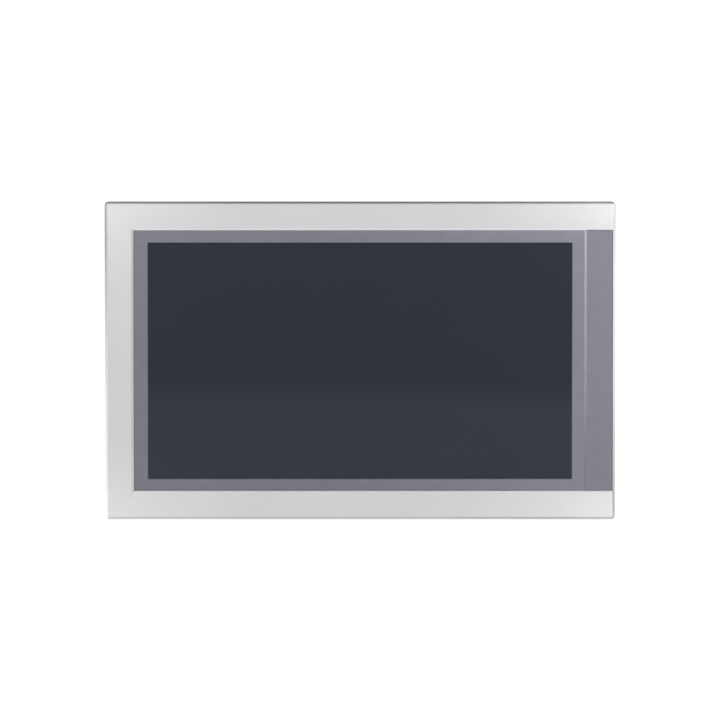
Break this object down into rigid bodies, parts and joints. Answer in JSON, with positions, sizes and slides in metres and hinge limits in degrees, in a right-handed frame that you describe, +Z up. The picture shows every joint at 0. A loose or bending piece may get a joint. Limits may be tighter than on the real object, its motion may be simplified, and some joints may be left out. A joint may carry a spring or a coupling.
{
  "type": "hmi touch panel",
  "caption": "Wide panel-mount operator touch screen: silver bezel, grey film front, finned rear housing with ports, doors and screw clamps.",
  "frame": {"origin": "centre of the panel cut-out, on the front face of the cabinet door that the unit is mounted in", "axes": "+X to the right as the user sees the screen, +Y back into the cabinet, +Z up; the screen faces -Y"},
  "size_m": [0.42, 0.0689, 0.262],
  "materials": {
    "bezel_metal": "fine silver powder coat",
    "strip_film": "matt grey film, slightly violet",
    "grey_film": "matt grey polyester film",
    "screen_film": "anti-glare, dark when off",
    "seal_rubber": "matt black",
    "black_tape": "matt black",
    "touch_glass": "clear float glass",
    "flex_film": "amber polyimide",
    "foam": "closed-cell foam",
    "stamped_steel": "stamped sheet",
    "zinc_steel": "zinc-plated sheet",
    "lcd_glass": "black when off",
    "clear_acrylic": "polished acrylic",
    "white_board": "white solder mask",
    "screw_steel": "zinc-plated",
    "brass_pillar": "turned brass",
    "green_board": "green solder mask",
    "chip_black": "moulded epoxy",
    "plain_aluminium": "milled",
    "capacitor_can": "drawn can",
    "ferrite": "dark ferrite",
    "green_plastic": "moulded green polyamide",
    "plated_shell": "nickel-plated shell",
    "black_insert": "moulded black polyester",
    "red_plastic": "moulded red",
    "white_plastic": "moulded white",
    "battery_steel": "bright can",
    "housing_plastic": "fine-textured charcoal moulding",
    "sink_aluminium": "extruded, natural anodised",
    "cast_clamp": "die-cast, tumbled",
    "black_steel": "black oxide",
    "pad_plastic": "black polyamide"
  },
  "bodies": {
    "unit": {"front_bezel": "bezel_metal", "side_strip": "strip_film", "front_sheet": "grey_film", "panel_gasket": "seal_rubber", "touch_film": "screen_film", "touch_spacer": "black_tape", "touch_glass": "touch_glass", "touch_tail": "flex_film", "lcd_cushion": "foam", "lcd_frame": "stamped_steel", "lcd_cell": "lcd_glass", "light_guide": "clear_acrylic", "led_bar": "white_board", "lcd_back_plate": "stamped_steel", "chassis_plate": "zinc_steel", "chassis_screws": "screw_steel", "board_standoffs": "brass_pillar", "board_screws": "screw_steel", "main_board": "green_board", "processor": "chip_black", "memory_chips": "chip_black", "heat_spreader": "plain_aluminium", "capacitors": "capacitor_can", "inductors": "ferrite", "display_cable": "flex_film", "power_header": "green_plastic", "com_ports": "plated_shell", "com_port_inserts": "black_insert", "lan_ports": "plated_shell", "usb_ports": "plated_shell", "card_slot": "plated_shell", "dip_switch": "red_plastic", "reset_switch": "black_insert", "battery_holder": "black_insert", "battery": "battery_steel", "rear_housing": "housing_plastic", "heat_sink": "sink_aluminium", "heat_sink_screws": "screw_steel", "housing_screws": "screw_steel", "earth_terminal": "brass_pillar", "clamp_brackets": "cast_clamp"},
    "power_plug": {"power_plug": "green_plastic", "power_plug_screws": "screw_steel"},
    "card_door": {"card_door": "housing_plastic"},
    "battery_door": {"battery_door": "housing_plastic"},
    "mode_slider_1": {"dip_slider_1": "white_plastic"},
    "mode_slider_2": {"dip_slider_2": "white_plastic"},
    "reset_button": {"reset_button": "white_plastic"},
    "clamp_pad_1": {"clamp_pad_1": "pad_plastic"},
    "clamp_screw_1": {"clamp_screw_1": "black_steel"},
    "clamp_pad_2": {"clamp_pad_2": "pad_plastic"},
    "clamp_screw_2": {"clamp_screw_2": "black_steel"},
    "clamp_pad_3": {"clamp_pad_3": "pad_plastic"},
    "clamp_screw_3": {"clamp_screw_3": "black_steel"},
    "clamp_pad_4": {"clamp_pad_4": "pad_plastic"},
    "clamp_screw_4": {"clamp_screw_4": "black_steel"},
    "clamp_pad_5": {"clamp_pad_5": "pad_plastic"},
    "clamp_screw_5": {"clamp_screw_5": "black_steel"},
    "clamp_pad_6": {"clamp_pad_6": "pad_plastic"},
    "clamp_screw_6": {"clamp_screw_6": "black_steel"}
  },
  "joints": [
    {"name": "clamp_1_travel", "type": "slide", "parent": "unit", "child": "clamp_pad_1", "axis": [0, -1, 0], "range_m": [0, 0.0065]},
    {"name": "clamp_1_turn", "type": "hinge", "parent": "clamp_pad_1", "child": "clamp_screw_1", "pos_m": [-0.12, 0.03, 0.1254], "axis": [0, -1, 0], "range_deg": [0, 3343.9]},
    {"name": "clamp_2_travel", "type": "slide", "parent": "unit", "child": "clamp_pad_2", "axis": [0, -1, 0], "range_m": [0, 0.0065]},
    {"name": "clamp_2_turn", "type": "hinge", "parent": "clamp_pad_2", "child": "clamp_screw_2", "pos_m": [0.12, 0.03, 0.1254], "axis": [0, -1, 0], "range_deg": [0, 3343.9]},
    {"name": "clamp_3_travel", "type": "slide", "parent": "unit", "child": "clamp_pad_3", "axis": [0, -1, 0], "range_m": [0, 0.0065]},
    {"name": "clamp_3_turn", "type": "hinge", "parent": "clamp_pad_3", "child": "clamp_screw_3", "pos_m": [0.2044, 0.03, 0], "axis": [0, -1, 0], "range_deg": [0, 3343.9]},
    {"name": "clamp_4_travel", "type": "slide", "parent": "unit", "child": "clamp_pad_4", "axis": [0, -1, 0], "range_m": [0, 0.0065]},
    {"name": "clamp_4_turn", "type": "hinge", "parent": "clamp_pad_4", "child": "clamp_screw_4", "pos_m": [0.12, 0.03, -0.1254], "axis": [0, -1, 0], "range_deg": [0, 3343.9]},
    {"name": "clamp_5_travel", "type": "slide", "parent": "unit", "child": "clamp_pad_5", "axis": [0, -1, 0], "range_m": [0, 0.0065]},
    {"name": "clamp_5_turn", "type": "hinge", "parent": "clamp_pad_5", "child": "clamp_screw_5", "pos_m": [-0.12, 0.03, -0.1254], "axis": [0, -1, 0], "range_deg": [0, 3343.9]},
    {"name": "clamp_6_travel", "type": "slide", "parent": "unit", "child": "clamp_pad_6", "axis": [0, -1, 0], "range_m": [0, 0.0065]},
    {"name": "clamp_6_turn", "type": "hinge", "parent": "clamp_pad_6", "child": "clamp_screw_6", "pos_m": [-0.2044, 0.03, 0], "axis": [0, -1, 0], "range_deg": [0, 3343.9]},
    {"name": "plug_slide", "type": "slide", "parent": "unit", "child": "power_plug", "axis": [0, 0, -1], "range_m": [0, 0.025]},
    {"name": "card_door_hinge", "type": "hinge", "parent": "unit", "child": "card_door", "pos_m": [0.1634, 0.032, 0.02], "axis": [0, 0, -1], "range_deg": [0, 95]},
    {"name": "battery_door_hinge", "type": "hinge", "parent": "unit", "child": "battery_door", "pos_m": [-0.133, 0.0469, 0.058], "axis": [1, 0, 0], "range_deg": [0, 95]},
    {"name": "mode_slide_1", "type": "slide", "parent": "unit", "child": "mode_slider_1", "axis": [0, 1, 0], "range_m": [0, 0.0016]},
    {"name": "mode_slide_2", "type": "slide", "parent": "unit", "child": "mode_slider_2", "axis": [0, 1, 0], "range_m": [0, 0.0016]},
    {"name": "reset_press", "type": "slide", "parent": "unit", "child": "reset_button", "axis": [-1, 0, 0], "range_m": [0, 0.0005], "stiffness_N_per_m": 400}
  ],
  "couplings": [
    {"joint": "clamp_1_turn", "follows": "clamp_1_travel", "rad_per_m": 8976},
    {"joint": "clamp_2_turn", "follows": "clamp_2_travel", "rad_per_m": 8976},
    {"joint": "clamp_3_turn", "follows": "clamp_3_travel", "rad_per_m": 8976},
    {"joint": "clamp_4_turn", "follows": "clamp_4_travel", "rad_per_m": 8976},
    {"joint": "clamp_5_turn", "follows": "clamp_5_travel", "rad_per_m": 8976},
    {"joint": "clamp_6_turn", "follows": "clamp_6_travel", "rad_per_m": 8976}
  ]
}
